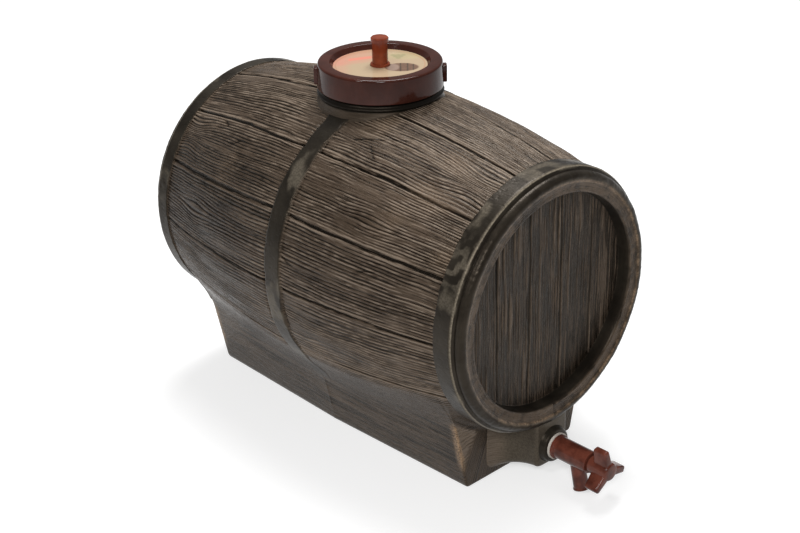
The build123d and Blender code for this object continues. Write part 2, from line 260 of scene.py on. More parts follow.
def rounded_block(base, tip, low, high, bevel, segments, place):
    """Block with rounded edges. base and tip are its x and y sizes at its lower and upper end."""
    mesh = bmesh.new()
    bmesh.ops.create_cube(mesh, size=1.0)
    for v in mesh.verts:
        (width, depth), height = (tip, high) if v.co.z > 0 else (base, low)
        v.co.x *= width
        v.co.y *= depth
        v.co.z = height
    bmesh.ops.bevel(mesh, geom=mesh.edges[:], offset=bevel, segments=segments, affect="EDGES", profile=0.5)
    bmesh.ops.transform(mesh, matrix=place, verts=mesh.verts)
    mesh.verts.index_update()
    points = [v.co[:] for v in mesh.verts]
    faces = [tuple(v.index for v in f.verts) for f in mesh.faces]
    mesh.free()
    return points, faces


# ---- barrel surface ----
COLUMNS = 1440
ANGLE = np.linspace(-math.pi, math.pi, COLUMNS, endpoint=False)  # 0 is straight up
SIN, COS = np.sin(ANGLE), np.cos(ANGLE)
MEAN_RADIUS = 128.0  # turns angles into lengths for the grain


def belly(x):
    """Radius of the plain bulging body."""
    sag = BELLY_RADIUS - SHOULDER_RADIUS
    arc = (STAVE_HALF ** 2 + sag ** 2) / (2 * sag)
    reach = np.minimum(np.abs(x), STAVE_HALF)
    return BELLY_RADIUS - arc + np.sqrt(arc * arc - reach * reach)


def plinth_reach(x, angle):
    """Distance from the barrel axis to the plinth's skin, or 0 above the axis."""
    narrowing = (PLINTH_MID_WIDTH - PLINTH_END_WIDTH) * np.abs(x) / PLINTH_HALF_LENGTH
    width = PLINTH_MID_WIDTH - narrowing
    lower = np.cos(angle) < -0.05
    down = np.where(lower, -np.cos(angle), 1.0)
    floor = AXIS_Z / down
    side = (width + AXIS_Z * PLINTH_FLARE) / (np.abs(np.sin(angle)) + down * PLINTH_FLARE)
    return np.where(lower, soft_min(floor, side, BOTTOM_ROUND), 0.0)


HOOP_WAVE = 1.5
HOOP_NICK = 0.8


def mid_hoop_mask(x, angle):
    """1 on the middle hoop, whose edges wander."""
    arc = angle * BELLY_RADIUS
    right = MID_HOOP_HALF + HOOP_WAVE * noise(arc / 22, 3.1, 5) + HOOP_NICK * noise(arc / 6, 9.7, 6)
    left = -MID_HOOP_HALF + HOOP_WAVE * noise(arc / 26, 7.7, 7) + HOOP_NICK * noise(arc / 7, 1.7, 8)
    edge = 0.8
    return smooth(left - edge, left + edge, x) * (1 - smooth(right - edge, right + edge, x))


def hoop_dents(x, angle):
    """Uneven cast-iron look of the hoops, in millimetres."""
    arc = angle * MEAN_RADIUS
    pits = smooth(0.55, 0.8, noise(x / 1.6, arc / 1.6, 44))
    return 0.16 * layered_noise(x / 7, arc / 9, 43) - 0.22 * pits


# Knots that the grain bends round: x, angle in degrees, reach along, reach across, strength.
KNOTS = ((158, -25, 26, 14, 13), (-160, -50, 20, 14, 10), (36, -30, 14, 9, 4), (60, -106, 30, 12, 6),
         (-70, -20, 26, 12, 5), (-120, -78, 20, 12, -7), (110, 24, 28, 12, 8), (-40, 52, 24, 14, -8),
         (150, 76, 24, 12, 9), (-150, 30, 26, 12, 8), (30, 104, 28, 12, -7), (95, -55, 22, 10, -5))

# Short cracks that run across the grain: x, angle in degrees, length, slant in degrees.
CRACKS = ((46, -27, 34, 24), (58, -31, 20, -38), (70, -22, 26, 18), (-92, -47, 24, 22), (-118, -41, 14, -35),
          (104, -72, 22, 15), (18, -80, 18, -20), (-60, 22, 30, 20), (84, 33, 26, -22), (-130, 70, 22, 18),
          (40, 82, 24, -18), (120, 55, 18, 30))


def grain_flow(x, angle):
    """Cross coordinate of the grain in millimetres, bent round knots, and the stave's number."""
    arc = angle * MEAN_RADIUS
    flow = arc + 2.0 * layered_noise(x / 80, arc / 40, 11) + 0.4 * noise(x / 22, arc / 10, 12)
    for knot_x, degrees, along, across, strength in KNOTS:
        u = (x - knot_x) / along
        v = (arc - math.radians(degrees) * MEAN_RADIUS) / across
        flow = flow + strength * v * np.exp(-(u * u + v * v))
    stave = np.searchsorted(np.radians(STAVE_JOINTS), angle)
    return flow + 40.0 * lattice(stave, stave * 3 + 1, 21), stave


def cracks(x, angle):
    """Depth of the short slanting cracks, from 0 to 1."""
    arc = angle * MEAN_RADIUS
    deepest = np.zeros_like(x)
    for number, (crack_x, degrees, length, slant) in enumerate(CRACKS):
        c, s = math.cos(math.radians(slant)), math.sin(math.radians(slant))
        dx, dy = x - crack_x, arc - math.radians(degrees) * MEAN_RADIUS
        along, away = dx * c + dy * s, -dx * s + dy * c
        away = away - 1.2 * noise(along / 7, number * 5.3, 33)
        inside = 1 - smooth(length / 2 - 5, length / 2, np.abs(along))
        deepest = np.maximum(deepest, (1 - smooth(0.2, 1.1, np.abs(away))) * inside)
    return deepest


GRAIN_PITCH = 2.9
RIDGE_HEIGHT = 0.95


def grain(x, angle):
    """Oak-look grain of the staves, with thin crests in some places and thin furrows in others:
    height in millimetres, lightness and the cross coordinate."""
    flow, stave = grain_flow(x, angle)
    arc = angle * MEAN_RADIUS
    pitch = GRAIN_PITCH + 0.4 * lattice(stave, stave + 5, 22)
    wave = 0.5 + 0.5 * np.sin(2 * math.pi * flow / pitch + 2.0 * noise(x / 90, flow / 8, 13))
    raised = smooth(-0.2, 0.5, noise(x / 110 + stave * 3, arc / 24, 19))
    crest = wave ** 2.6 * raised + (1 - (1 - wave) ** 3.2) * (1 - raised)
    strength = 0.15 + 0.85 * smooth(-0.6, 0.0, layered_noise(x / 70 + stave * 7, arc / 16, 14))
    breaks = strength * smooth(-0.95, -0.35, noise(x / 34, flow / 2.2, 15))
    streak = noise(x / 40, flow / 1.3, 16)
    chips = noise(x / 6, flow / 1.4, 18)
    middle = 0.25 * raised + 0.78 * (1 - raised)
    ridges = (crest - middle) * breaks
    height = RIDGE_HEIGHT * ridges + 0.16 * streak * (0.4 + 0.6 * strength) + 0.1 * chips * strength
    height = height + 0.35 * layered_noise(x / 24, arc / 13, 17)
    light = 0.42 + ridges * (0.8 + 0.45 * chips) + 0.2 * streak + 0.14 * chips * strength
    crack = cracks(x, angle)
    return height - 0.7 * crack, light - 0.5 * crack, flow


def joint_groove(x, angle):
    """Grooves between staves and the raised lips beside them, from 0 to 1."""
    depth, lip = 0.0, 0.0
    for number, degrees in enumerate(STAVE_JOINTS):
        centre = math.radians(degrees) * belly(x) + 1.0 * noise(x / 45, number * 3.7, 31)
        away = np.abs(angle * belly(x) - centre - 0.35 * noise(x / 9, number, 32))
        depth = np.maximum(depth, 1 - smooth(0.3, 1.8, away))
        lip = np.maximum(lip, smooth(1.0, 1.8, away) * (1 - smooth(2.2, 5.0, away)))
    return depth, lip


FACE_ROWS = 44


def side_rows():
    """x of every row of the side, close together where the shape is tight, with how far up the
    plinth's end face the row lies, or -1 off that face."""
    flash_line = np.arange(0.0, 14.0, 1.1)
    plain = np.arange(14.5, PLINTH_HALF_LENGTH - 3.6, 2.1)
    corner = PLINTH_HALF_LENGTH - np.array([2.4, 1.9, 1.4, 0.9, 0.5, 0.2])
    fillet = PLINTH_HALF_LENGTH + np.array([0.2, 0.5, 1.0, 1.8, 2.8, 4.0, 5.4, 7.0, 8.6])
    near = np.concatenate([flash_line, plain, corner])
    up = np.linspace(0, 1, FACE_ROWS)
    face_x = PLINTH_HALF_LENGTH + 0.15 - 0.3 * up

    def half(root_x):
        """Rows from the middle out to the foot of a chime."""
        hoop_edge = STAVE_HALF + np.arange(-1.2, 2.0, 0.4)
        hoop = np.arange(STAVE_HALF + 3.5, root_x - 1.0, 1.4)
        root = [root_x - 1.0, root_x - 0.6, root_x - 0.3]
        return np.concatenate([near, face_x[::-1], fillet, hoop_edge, hoop, root])

    def on_face(xs):
        out = np.full(len(xs), -1.0)
        out[len(near):len(near) + FACE_ROWS] = up[::-1]
        return out

    front, rear = half(FRONT_ROOT_X), half(REAR_ROOT_X)
    xs = np.concatenate([-rear[:0:-1], front])
    return xs[:, None], np.concatenate([on_face(rear)[:0:-1], on_face(front)])[:, None]


def plinth_shape(x, face, body):
    """Radius of the smooth body with the plinth blended in, round bottom edges and end fillets."""
    merged = soft_max(body, plinth_reach(x, ANGLE), PLINTH_BLEND)
    rise = np.maximum(merged - body, 0.0)
    past = np.abs(x) - PLINTH_HALF_LENGTH
    foot = np.minimum(rise, END_FILLET)
    on_face = body + foot + (np.maximum(rise - END_EDGE, foot) - foot) * np.maximum(face, 0)
    gap = np.clip(END_FILLET - past, 0.0, END_FILLET)
    outside = body + np.minimum(rise, END_FILLET - np.sqrt(END_FILLET ** 2 - gap ** 2))
    near = np.clip(END_EDGE + past, 0.0, END_EDGE)
    inside = body + np.maximum(rise - (END_EDGE - np.sqrt(END_EDGE ** 2 - near ** 2)), 0.0)
    return np.where(face >= 0, on_face, np.where(past > 0, outside, inside))


class Side:
    """The smooth side of the barrel, and masks from 0 to 1 that say what covers each point."""

    def __init__(self):
        rows, self.face = side_rows()
        self.angle = np.broadcast_to(ANGLE, (len(rows), COLUMNS))
        self.x = np.broadcast_to(rows, self.angle.shape)
        self.end = np.sign(self.x)
        self.reach = np.abs(self.x)
        self.down = np.degrees(np.abs(self.angle))
        body = belly(self.x)
        self.radius = plinth_shape(self.x, self.face, body)
        self.z = AXIS_Z + self.radius * np.cos(self.angle)
        self.y = self.radius * np.sin(self.angle)
        self.root_x = np.where(self.x > 0, FRONT_ROOT_X, REAR_ROOT_X)
        self.proud = self.radius - body
        on_barrel = 1 - smooth(1.0, 9.0, self.proud)
        self.hoop_line = mid_hoop_mask(self.x, self.angle)
        self.mid_hoop = self.hoop_line * on_barrel
        wander = 0.6 * noise(self.angle * 30, self.end * 2.2, 41)
        self.end_hoop = smooth(STAVE_HALF - 0.6, STAVE_HALF + 0.6, self.reach + wander)
        self.hoops = self.mid_hoop + self.end_hoop
        above_foot = 1 - smooth(122, 130, self.down)
        self.wood = (1 - self.hoop_line) * (1 - self.end_hoop) * on_barrel * above_foot
        self.plinth = (1 - on_barrel) * (1 - smooth(152, 156, self.down))
        self.off_boss = np.where(self.x > 0, smooth(38.0, 47.0, np.abs(self.y)), 1.0)


JOINT_DEPTH = 1.3
LIP_HEIGHT = 0.3
HOOP_TUCK = 1.6
FAN_PITCH = 3.3
FAN_HEIGHT = 0.75


def stave_relief(side):
    """Height of the staves in millimetres, lightness and the cross coordinate."""
    height, light, flow = grain(side.x, side.angle)
    groove, lip = joint_groove(side.x, side.angle)
    gap_noise = smooth(-0.1, 0.4, noise(side.angle * 14, side.end, 45))
    beside_hoop = smooth(2.0, 6.5, 16.0 - side.reach) * (0.35 + 0.65 * gap_noise)
    height = height * 0.85 - 0.6 - JOINT_DEPTH * (groove + beside_hoop) + LIP_HEIGHT * lip
    light = np.clip(light - 0.7 * groove + 0.3 * lip - 0.25 * beside_hoop, 0, 1)
    # painted shade: the staves darken towards the rear end and lower on the sides, rising from 30 to 70
    # degrees from the top
    painted_rear_shade = smooth(5.0, 70.0, -side.x) * smooth(30.0, 70.0, side.down)
    return side.wood * height, side.wood * light * (1 - 0.42 * painted_rear_shade), flow


def hoop_shade(side):
    """Lightness of the hoops: painted highlights on their edges and the front hoop's sides, and worn
    patches.
    """
    # painted highlight: pale lines along the end hoops' outer edges and both edges of the middle hoop
    from_edge = np.abs(side.reach - side.root_x + HOOP_TUCK)
    mid_edge = smooth(0.15, 0.6, side.hoop_line) * (1 - smooth(0.6, 0.95, side.hoop_line))
    highlight_and_wear = side.end_hoop * (1 - smooth(0.4, 1.5, from_edge)) + side.mid_hoop * mid_edge
    patch = side.hoops * smooth(0.05, 0.6, layered_noise(side.x / 18, side.angle * 5.5, 63))
    # painted highlight on both sides of the front hoop, about 58 degrees down from the top, mottled
    painted_side_highlight = np.exp(-((side.down - 58) / 16) ** 2) * (side.x > STAVE_HALF)
    mottle = smooth(-0.5, 0.3, noise(side.x / 4, side.angle * MEAN_RADIUS / 5, 64))
    patch = np.maximum(patch, painted_side_highlight * mottle)
    return np.maximum(highlight_and_wear * 0.85, 0.3 + 0.28 * patch) * (side.hoops > 0.2)


def plinth_relief(side):
    """Height of the plinth's sides, how far its end faces are pushed out, and its lightness."""
    x, y, z = side.x, side.y, side.z
    streak = noise(x / 36, z / 1.9, 51) + 0.5 * noise(x / 14, z / 0.9, 53)
    flash = np.exp(-((x - 0.8 * noise(z / 12, 1.0, 52)) / 0.9) ** 2)
    height = (side.face < 0) * (0.16 * streak - 0.2) + flash * 0.5
    slant = z + 0.18 * np.abs(y) + 1.3 * noise(y / 9, z / 14, 54)
    fan = np.maximum(np.sin(2 * math.pi * slant / FAN_PITCH), -0.2)
    fan = fan * smooth(-0.4, 0.1, noise(y / 11, z / 2.6, 55))
    push = smooth(0.0, 0.15, side.face) * (FAN_HEIGHT * (fan - 1) * side.off_boss - 0.1)
    push = side.end * (side.face >= 0) * side.plinth * push
    # painted light and shade: end faces get a high lightness and the sides a low one, besides their ridges
    # and streaks
    light = np.where(side.face >= 0, 0.78 + 0.6 * fan, 0.3 + 0.2 * streak)
    return side.plinth * height, push, side.plinth * light


def plinth_wear(side):
    """Pale rubbed corners of the plinth."""
    past = side.reach - PLINTH_HALF_LENGTH
    edge = np.where(side.face >= 0, smooth(0.8, 0.97, side.face), 1 - smooth(2.5, 8.0, -past))
    ragged = smooth(-0.7, 0.0, layered_noise(side.z / 8, side.x / 5 + side.y / 9, 62))
    worn = side.plinth * edge * (past < 0.5) * ragged
    return worn * smooth(6.0, 12.0, side.proud) * smooth(40.0, 55.0, np.abs(side.y))


def side_surface():
    """Rows of points round the barrel's side, with their painted values."""
    side = Side()
    wood_height, wood_light, flow = stave_relief(side)
    plinth_height, push, plinth_light = plinth_relief(side)
    hoop_height = side.hoops * (HOOP_RISE - 0.3 + hoop_dents(side.x, side.angle))
    tuck = HOOP_TUCK * smooth(-2.2, 0.0, side.reach - side.root_x)
    radius = side.radius + wood_height + hoop_height + plinth_height - tuck
    z = np.maximum(AXIS_Z + radius * np.cos(side.angle), 0.0)
    points = np.stack([side.x + push, radius * np.sin(side.angle), z], axis=-1)
    bare = (1 - side.wood - side.plinth).clip(0, 1)
    shade = np.maximum(wood_light + plinth_light + bare * 0.3, hoop_shade(side))
    tint = 0.13 * side.wood * smooth(0.25, 0.85, layered_noise(side.x / 42, side.angle * 3.0, 61))
    boss_root = 0.2 * side.plinth * (side.face >= 0) * (1 - side.off_boss)
    painted = {"relief": np.clip(shade, 0, 1),
               "wear": np.clip(tint + plinth_wear(side), 0, 1),
               "band": np.clip(side.hoops + boss_root, 0, 1),
               "along": side.x,
               "across": np.where(side.plinth > 0.5, side.z + side.y * 0.1, flow)}
    return points, painted


def chime_profile(root_x):
    """x, radius and lightness of the rounded ring outside an end hoop, down to the head."""
    crest = root_x + CHIME_WIDTH
    head = crest - HEAD_RECESS
    bead_foot_x = root_x + 1.2
    bead_height = SHOULDER_RADIUS - 2.6 - BEAD_RADIUS
    rows = [(root_x, SHOULDER_RADIUS - 3.6, 0.0), (root_x + 0.5, SHOULDER_RADIUS - 3.9, 0.0)]
    for t in np.linspace(0.0, 1.0, 10):
        turn = t * math.pi / 2
        rows.append((bead_foot_x + (crest - bead_foot_x) * math.sin(turn),
                     BEAD_RADIUS + bead_height * math.cos(turn), 0.25 + 0.55 * t ** 4))
    rows += [(crest - 0.05, BEAD_RADIUS - 1.2, 0.9), (crest - 0.5, BEAD_RADIUS - 2.2, 0.75),
             (crest - 1.1, BEAD_RADIUS - 3.2, 0.5)]
    rows += [(crest - 1.5, (BEAD_RADIUS + RING_EDGE) / 2 - 1.4, 0.5), (crest - 1.5, RING_EDGE + 1.5, 0.55),
             (crest - 1.5, RING_EDGE + 0.5, 0.75), (crest - 2.0, RING_EDGE - 0.3, 0.7),
             (crest - 3.4, RING_EDGE - 0.9, 0.2)]
    rows += [(crest - 8.0, HEAD_RADIUS + 0.7, 0.1), (head + 1.0, HEAD_RADIUS + 0.3, 0.0),
             (head - 0.6, HEAD_RADIUS, 0.0), (head - 0.6, HEAD_RADIUS / 2, 0.0)]
    return np.array(rows)


CHIME_RADIUS = 105.0  # turns angles into lengths for the chime's relief


def chime_surface(root_x, side):
    """Rows of points of one chime, with their painted values."""
    x, radius, light = (column[:, None] for column in chime_profile(root_x).T)
    arc = ANGLE * CHIME_RADIUS
    outer = smooth(HEAD_RADIUS + 0.5, HEAD_RADIUS + 3.0, radius)
    lump = 0.35 * layered_noise(arc / 16, radius / 9, 71) + 0.12 * noise(arc / 2.5, radius / 2.2, 73)
    xx = np.minimum(x + outer * (lump - 0.15), root_x + CHIME_WIDTH)
    rr = radius + outer * 0.5 * (lump - 0.3)
    points = np.stack([side * xx, rr * SIN, AXIS_Z + rr * COS], axis=-1)
    rub = smooth(-0.5, 0.4, layered_noise(arc / 6, radius / 3, 72) + 0.5 * noise(arc / 40, 1.0, 74))
    ring_low = smooth(HEAD_RADIUS + 1.0, HEAD_RADIUS + 3.0, radius)
    flat_ring = ring_low * (1 - smooth(BEAD_RADIUS - 1.2, BEAD_RADIUS + 1.8, radius))
    bead_low = smooth(BEAD_RADIUS - 3.3, BEAD_RADIUS - 2.2, radius)
    edge_line = bead_low * (1 - smooth(BEAD_RADIUS - 1.0, BEAD_RADIUS + 0.4, radius))
    bead = smooth(BEAD_RADIUS - 4.2, BEAD_RADIUS + 0.8, radius)
    recess_wall = 1 - smooth(HEAD_RADIUS + 1.0, HEAD_RADIUS + 2.4, radius)
    painted = {"relief": 0.16 + light * (0.1 + 0.35 * rub),
               "wear": flat_ring * 0.1 * rub + edge_line * (0.25 + 0.6 * rub),
               "band": np.broadcast_to((bead + recess_wall) * 0.9, rub.shape),
               "along": np.broadcast_to(arc, rub.shape),
               "across": np.broadcast_to(radius, rub.shape)}
    return points, painted


def add_body(skin):
    """The barrel's side and both chimes as one sheet, closed under the heads."""
    front, front_paint = chime_surface(FRONT_ROOT_X, 1)
    rear, rear_paint = chime_surface(REAR_ROOT_X, -1)
    side, side_paint = side_surface()
    points, faces = tube_grid(np.concatenate([rear[::-1], side, front]))
    painted = {}
    for key in PAINTED:
        painted[key] = np.concatenate([rear_paint[key][::-1], side_paint[key], front_paint[key]])
    skin.add(points, faces, **painted)


HEAD_BOARDS = np.array([-57.0, -19.0, 19.0, 57.0])


def head_relief(y, z):
    """Upright boards with grain: height in millimetres, lightness and the cross coordinate."""
    groove, lip = 0.0, 0.0
    for number, place in enumerate(HEAD_BOARDS):
        centre = place + 0.9 * noise(z / 40, number * 2.3, 81)
        away = np.abs(y - centre)
        groove = np.maximum(groove, 1 - smooth(0.3, 1.5, away))
        lip = np.maximum(lip, smooth(0.9, 1.6, away) * (1 - smooth(1.6, 3.2, away)))
    board = np.searchsorted(HEAD_BOARDS, y)
    flow = y + 1.4 * layered_noise(z / 60, y / 30, 83) + 50 * lattice(board, board + 2, 82)
    wave = np.sin(2 * math.pi * flow / GRAIN_PITCH + 2.0 * noise(z / 50, flow / 8, 84))
    breaks = smooth(-0.45, 0.2, noise(z / 26, flow / 2.1, 85))
    strength = smooth(-0.5, 0.3, layered_noise(z / 50 + board * 5, y / 14, 86))
    streak = noise(z / 30, flow / 1.1, 87)
    ledge = smooth(0.55, 0.8, noise(z / 60, flow / 2.4, 88))
    crest = (0.5 + 0.5 * wave) ** 2
    height = 0.6 * crest * breaks * strength + 0.2 * streak - 0.9 * groove + 0.3 * lip + 0.5 * ledge
    worn_lip = lip * smooth(-0.4, 0.4, streak)
    light = 0.55 * crest * breaks * strength + 0.2 * streak + 0.35 * worn_lip + 0.6 * ledge
    return height, light - 0.5 * groove, flow


HEAD_OVERLAP = 0.9  # how far a head reaches into its chime
HEAD_THICKNESS = 1.2


def add_head(skin, side, crest_x):
    """A closed disc with upright boards on its outer face."""
    head_x = crest_x - HEAD_RECESS
    radius = HEAD_RADIUS + HEAD_OVERLAP
    turn = np.linspace(-math.pi / 2, math.pi / 2, 320)
    y = (turn / (math.pi / 2) * 0.8 + np.sin(turn) * 0.2) * radius
    yy, vv = np.meshgrid(y, np.linspace(-1, 1, 90), indexing="ij")
    zz = vv * np.sqrt(np.maximum(radius ** 2 - yy ** 2, 0.04))
    height, light, flow = head_relief(yy, zz)
    fade = 1 - smooth(radius - 5, radius - 1, np.hypot(yy, zz))
    front = np.stack([side * (head_x + 0.2 + (height - 0.2) * fade), yy, AXIS_Z + zz], axis=-1)
    back = np.stack([np.full_like(yy, side * (head_x - HEAD_THICKNESS)), yy, AXIS_Z + zz], axis=-1)
    rows, columns = yy.shape
    count = rows * columns
    faces = grid_faces(rows, columns, wrap=False, flip=side < 0)
    faces += grid_faces(rows, columns, start=count, wrap=False, flip=side > 0)
    rim = [(i, 0) for i in range(rows)] + [(rows - 1, j) for j in range(1, columns)]
    rim += [(i, columns - 1) for i in range(rows - 2, -1, -1)] + [(0, j) for j in range(columns - 2, 0, -1)]
    ids = [i * columns + j for i, j in rim]
    for a, b in zip(ids, ids[1:] + ids[:1]):
        quad = (a, b, b + count, a + count)
        faces.append(quad if side < 0 else quad[::-1])
    points = np.concatenate([front.reshape(-1, 3), back.reshape(-1, 3)])
    skin.add(points, faces, relief=np.clip(0.17 + 0.5 * light, 0, 1), along=zz, across=flow)


def boss_section(x, half_width, bottom, top):
    """Ring of points round the boss block at x: an upright rectangle with round corners."""
    power = 2 / BOSS_SQUARENESS
    middle, tall = (bottom + top) / 2, (top - bottom) / 2
    ring = []
    for a in circle(96):
        c, s = math.cos(a), math.sin(a)
        across = math.copysign(abs(c) ** power, c)
        upward = math.copysign(abs(s) ** power, s)
        ring.append((x, across * half_width, middle + upward * tall))
    return ring


def add_boss_block(skin):
    """Block under the front chime, flared where it leaves the plinth."""
    root_x = PLINTH_HALF_LENGTH
    tip_x = BOSS_FRONT_X - BOSS_TIP_ROUND
    near = root_x + np.array([-8.0, -4.0, -1.0, -0.4, 0.0, 0.4, 0.9, 1.5, 2.3, 3.2, 4.4, 6.0, 8.0])
    rounding = BOSS_FRONT_X - BOSS_TIP_ROUND * (1 - np.sin(np.linspace(0.2, 1, 6) * math.pi / 2))
    rings, root = [], []
    for x in np.concatenate([near, np.linspace(root_x + 10, tip_x, 18), rounding]):
        t = np.clip((x - root_x) / (BOSS_FRONT_X - root_x), 0, 1)
        tip = max(x - tip_x, 0) / BOSS_TIP_ROUND
        inward = BOSS_TIP_ROUND * (1 - math.sqrt(max(1 - tip * tip, 0)))
        half_width = BOSS_HALF_WIDTH + 13 * (1 - t) ** 2.4 + 11 * (1 - t) ** 12 - inward
        bottom = BOSS_BOTTOM - 7 * (1 - t) ** 1.6 + inward
        ring = boss_section(x, half_width, bottom, BOSS_TOP - 0.3 * inward)
        rings.append(ring)
        root += [1 - smooth(0.03, 0.3, t)] * len(ring)
    points, faces = tube_grid(rings)
    root = np.array(root + [0.0, 0.0])
    # painted light: a high relief value paints the boss lighter, more so at its root
    skin.add(points, faces, relief=0.56 + 0.1 * root, band=0.85 - 0.65 * root,
             across=points[:, 2] + points[:, 1] * 0.1)


def add_boss_collar(skin):
    """Round collar on the boss, bored for the tap."""
    bore, bore_depth = 8.0, 3.0
    profile = [(BOSS_FRONT_X - 5, BOSS_COLLAR + 1.5), (BOSS_FRONT_X + 0.2, BOSS_COLLAR + 1.2),
               (BOSS_FRONT_X + 0.9, BOSS_COLLAR + 0.2), (BOSS_FACE_X - 1.6, BOSS_COLLAR),
               (BOSS_FACE_X - 0.5, BOSS_COLLAR - 0.5), (BOSS_FACE_X, BOSS_COLLAR - 1.6),
               (BOSS_FACE_X, bore), (BOSS_FACE_X - bore_depth, bore)]
    skin.add(*lathe_x(profile, TAP_Z, 72), relief=0.25, band=1.0)


SKIRT_RADIUS = COLLAR_RADIUS + 3.2
NECK_BEAD_RADIUS = COLLAR_RADIUS + 1.4
NECK_BEAD_HEIGHT = 3.9
NECK_BEAD_LOW = COLLAR_TOP - 5.4


def add_neck(skin):
    """Skirt that follows the belly, bead and neck tube."""
    a = circle(192)
    rings = []

    def on_belly(radius):
        x = NECK_X + radius * np.cos(a)
        y = radius * np.sin(a)
        return AXIS_Z + np.sqrt(belly(x) ** 2 - y * y)

    def ring(radius, z):
        z = np.broadcast_to(z, a.shape)
        rings.append(np.column_stack([NECK_X + radius * np.cos(a), radius * np.sin(a), z]))

    bead_inner = NECK_BEAD_RADIUS - 0.8
    ring(SKIRT_RADIUS - 2, on_belly(SKIRT_RADIUS - 2) - 4)
    for t in np.linspace(0, 1, 9):
        turn = t * math.pi / 2
        radius = SKIRT_RADIUS - (SKIRT_RADIUS - bead_inner) * math.sin(turn)
        lift = 1 - math.cos(turn)
        ring(radius, (on_belly(radius) - 0.7) * (1 - lift) + NECK_BEAD_LOW * lift)
    for t in np.linspace(0, 1, 9):
        ring(bead_inner + 1.6 * math.sin(t * math.pi), NECK_BEAD_LOW + NECK_BEAD_HEIGHT * t)
    for radius, z in ((NECK_BEAD_RADIUS - 1.0, COLLAR_TOP - 1.0), (NECK_BEAD_RADIUS - 1.6, COLLAR_TOP),
                      (NECK_RADIUS + 1.0, COLLAR_TOP), (NECK_RADIUS, COLLAR_TOP + 1.0),
                      (NECK_RADIUS, NECK_TOP - 0.8), (NECK_RADIUS - 0.8, NECK_TOP),
                      (NECK_BORE + 0.6, NECK_TOP), (NECK_BORE, NECK_TOP - 0.6), (NECK_BORE, COLLAR_TOP - 8)):
        ring(radius, z)
    points, faces = tube_grid(rings)
    on_skirt = (points[:, 2] < NECK_BEAD_LOW - 0.3) * 1.0
    skin.add(points, faces, relief=0.04 + 0.36 * on_skirt, band=1.0 - 0.55 * on_skirt)


def make_shell():
    """The moulded barrel with its heads, boss and neck."""
    skin = Skin()
    add_body(skin)
    add_head(skin, 1, FRONT_X)
    add_head(skin, -1, REAR_X)
    add_boss_block(skin)
    add_boss_collar(skin)
    add_neck(skin)
    shell = skin.build("shell_skin")
    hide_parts("barrel_shell")
    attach(shell, "barrel")
    shell.data.materials.append(shell_paint())


# ---- lid ----
def round_corners(points, steps=6):
    """Closed outline from (a, b, corner radius) points, with its corners rounded."""
    out = []
    for i, (a, b, radius) in enumerate(points):
        corner = np.array([a, b])
        if radius == 0:
            out.append(corner)
            continue
        before = np.array(points[i - 1][:2]) - corner
        after = np.array(points[(i + 1) % len(points)][:2]) - corner
        before, after = before / np.linalg.norm(before), after / np.linalg.norm(after)
        half_angle = math.acos(np.clip(before @ after, -1, 1)) / 2
        cut = radius / math.tan(half_angle)
        for t in np.linspace(0, 1, steps):
            out.append(corner + before * cut * (1 - t) ** 2 + after * cut * t ** 2)
    return out


LID_FLOOR = LABEL_LOW[2]
LID_RADIUS = (LID_HIGH[1] - LID_LOW[1]) / 2
LID_RING_EDGE = 43.7
LID_RECESS = (LABEL_HIGH[1] - LABEL_LOW[1]) / 2 + 0.3
LID_WALL = 3.6
STEM_HOLE = 4.5
LUG_TURNS = (47, 227)  # degrees from +X towards +Y
LUG_DEEP, LUG_WIDE, LUG_TALL = 5.6, 9.0, 15.0


def make_lid():
    """Screw lid with a sunk top and two grip lugs."""
    top, bottom = LID_HIGH[2], LID_LOW[2]
    plug, plug_low = NECK_BORE - 0.5, LID_FLOOR - 4.4
    ceiling, ceiling_z = NECK_BORE - 3.2, LID_FLOOR - 3.2
    skirt_inner = LID_RADIUS - 4.7
    outline = [(LID_RADIUS - 1.1, top, 2.2), (LID_RING_EDGE, top, 1.2), (LID_RECESS, LID_FLOOR, 0.8),
               (STEM_HOLE, LID_FLOOR, 0.0), (STEM_HOLE, ceiling_z, 0.0), (ceiling, ceiling_z, 0.0),
               (ceiling, plug_low, 0.0), (plug, plug_low, 0.0), (plug, top - LID_WALL, 0.0),
               (skirt_inner, top - LID_WALL, 0.0), (skirt_inner, bottom, 0.6), (LID_RADIUS, bottom, 0.9),
               (LID_RADIUS - 0.15, bottom + 3.0, 0.5)]
    skin = Skin()
    skin.add(*lathe_z(round_corners(outline)[::-1], NECK_X, 256))
    for turn in LUG_TURNS:
        spin = Matrix.Translation((NECK_X, 0, 0)) @ Matrix.Rotation(math.radians(turn), 4, "Z")
        place = spin @ Matrix.Translation((LID_RADIUS - 0.4, 0, top - 5.0 - LUG_TALL / 2))
        foot = (LUG_DEEP, LUG_WIDE)
        skin.add(*rounded_block(foot, foot, -LUG_TALL / 2, LUG_TALL / 2, 1.0, 4, place))
    lid = skin.build("lid_moulding")
    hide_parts("lid")
    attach(lid, "lid")
    lid.data.materials.append(lid_paint())


# ---- tap knob ----
HANDLE_LOW, HANDLE_HIGH = box_mm("tap_handle")
HANDLE_HUB = 8.2
HANDLE_TIP = 21.0
HANDLE_ROUND = 2.6
WING_TURNS = (102, 222, 342)  # degrees from +Y towards +Z
WING_BASE = (15.0, 8.6)  # along the tap and across, near the hub
WING_TIP = (13.2, 6.0)


